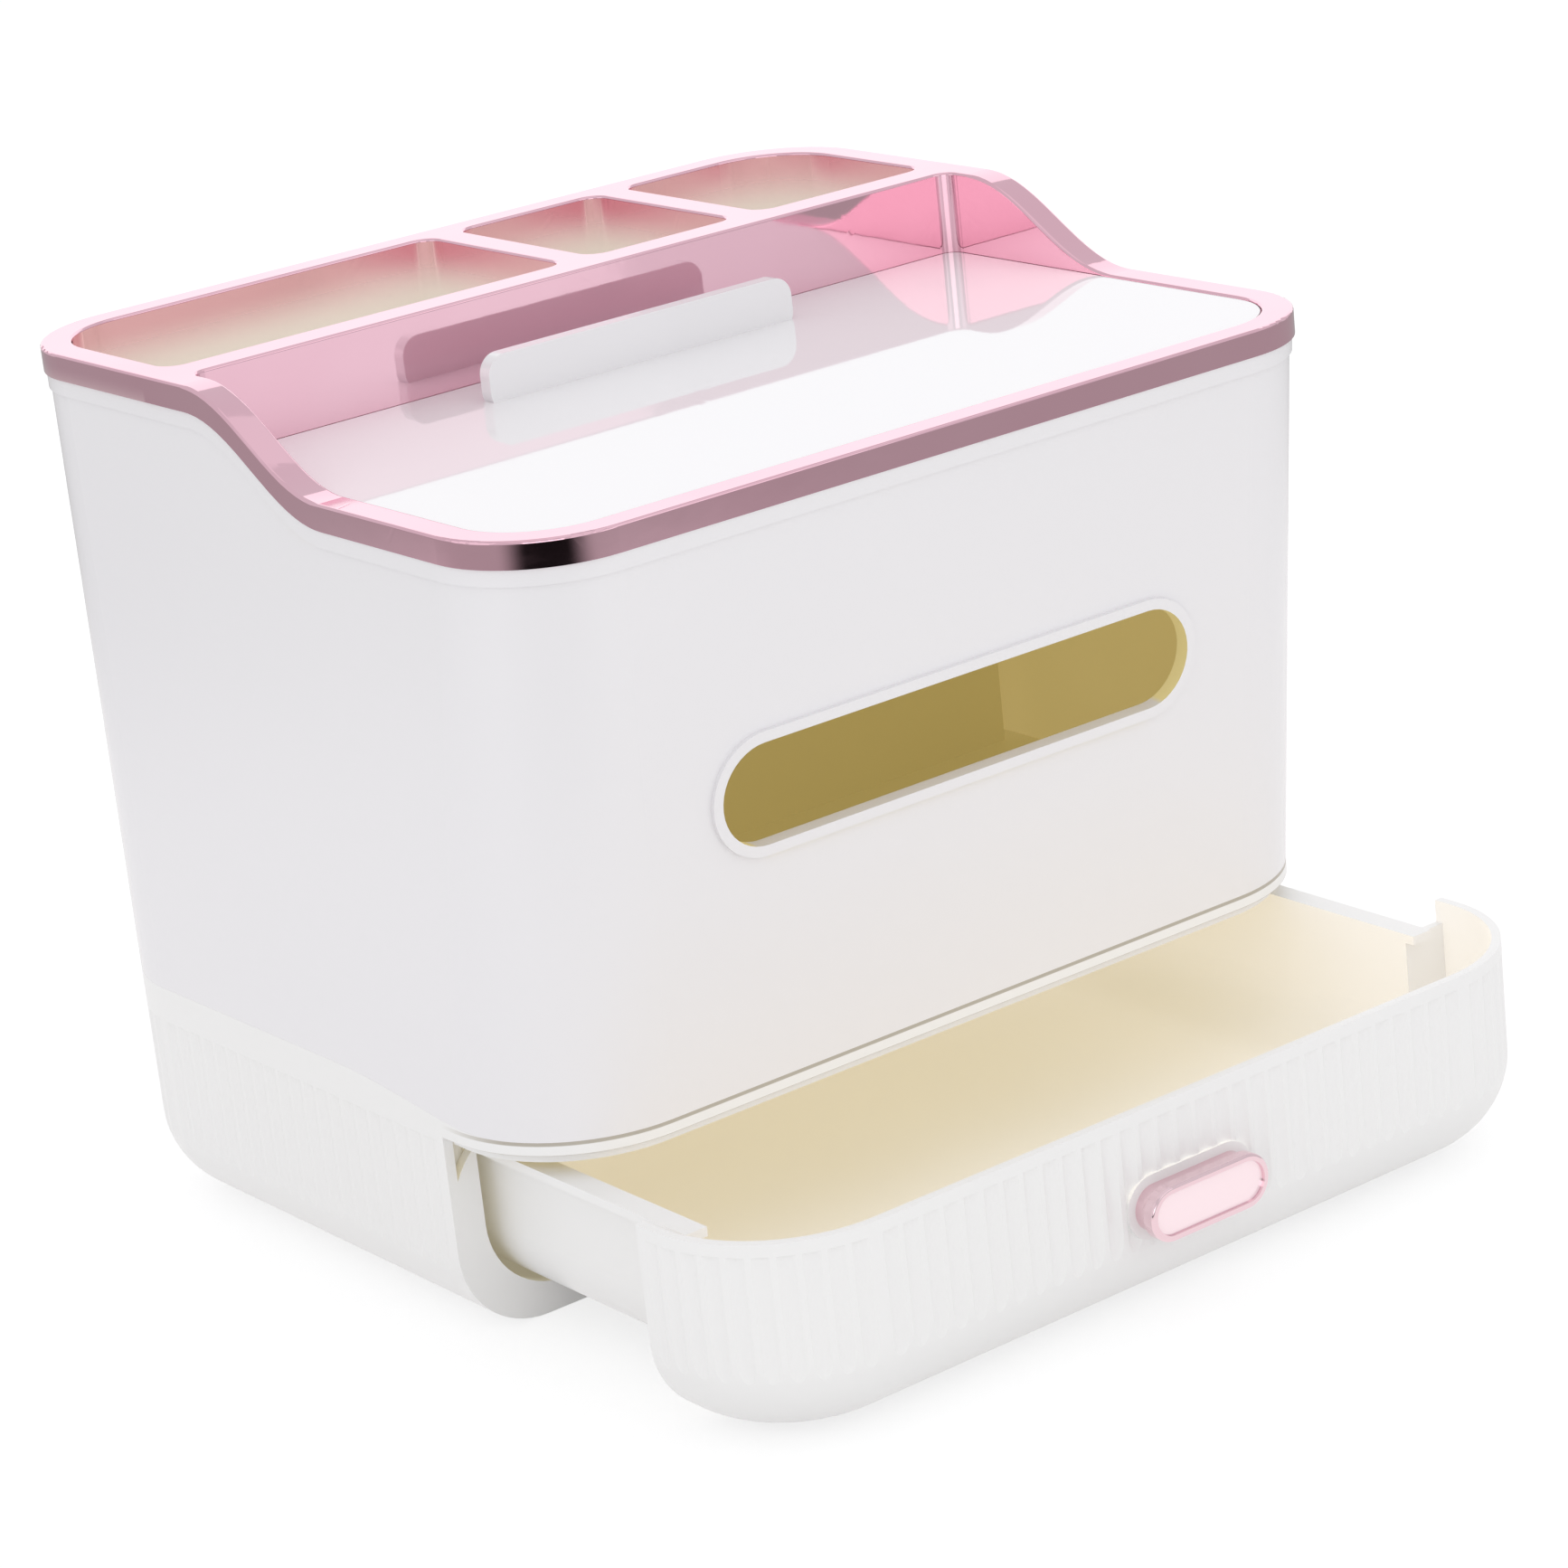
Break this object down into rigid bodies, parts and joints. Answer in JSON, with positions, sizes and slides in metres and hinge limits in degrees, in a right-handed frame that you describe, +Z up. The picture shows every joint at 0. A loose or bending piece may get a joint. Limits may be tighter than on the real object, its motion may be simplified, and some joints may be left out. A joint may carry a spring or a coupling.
{
  "type": "tissue box with drawer",
  "caption": "Rounded desktop tissue box: front dispensing slot, lift-off refill lid, rear compartments in a plated rim, and a fluted drawer sliding out of the base.",
  "frame": {"origin": "middle of the flat underside of the base, on the surface it stands on", "axes": "+X to the right along the front, +Y to the rear, +Z up; the slot and the drawer face -Y"},
  "size_m": [0.243, 0.2747, 0.216],
  "materials": {
    "shell_white": "smooth gloss injection-moulded ABS, cool white",
    "base_white": "fluted satin-gloss ABS, warm white",
    "inner_white": "semi-gloss moulded plastic, warm white",
    "lid_white": "high-gloss moulded ABS, white",
    "drawer_white": "fluted satin-gloss ABS, warm white",
    "rose_plating": "mirror-like rose gold plating over plastic",
    "pull_plating": "mirror-like rose gold plating over plastic",
    "screw_steel": "zinc-plated steel"
  },
  "bodies": {
    "body": {"shell": "shell_white", "base": "base_white", "tissue_floor": "inner_white", "floor_screws": "screw_steel", "top_frame": "rose_plating"},
    "lid": {"lid": "lid_white"},
    "drawer": {"drawer": "drawer_white", "drawer_pull": "pull_plating", "pull_screws": "screw_steel"}
  },
  "joints": [
    {"name": "drawer_slide", "type": "slide", "parent": "body", "child": "drawer", "axis": [0, -1, 0], "range_m": [-0.0726, 0.0285]},
    {"name": "lid_lift", "type": "slide", "parent": "body", "child": "lid", "axis": [0, 0, 1], "range_m": [0, 0.15]}
  ]
}
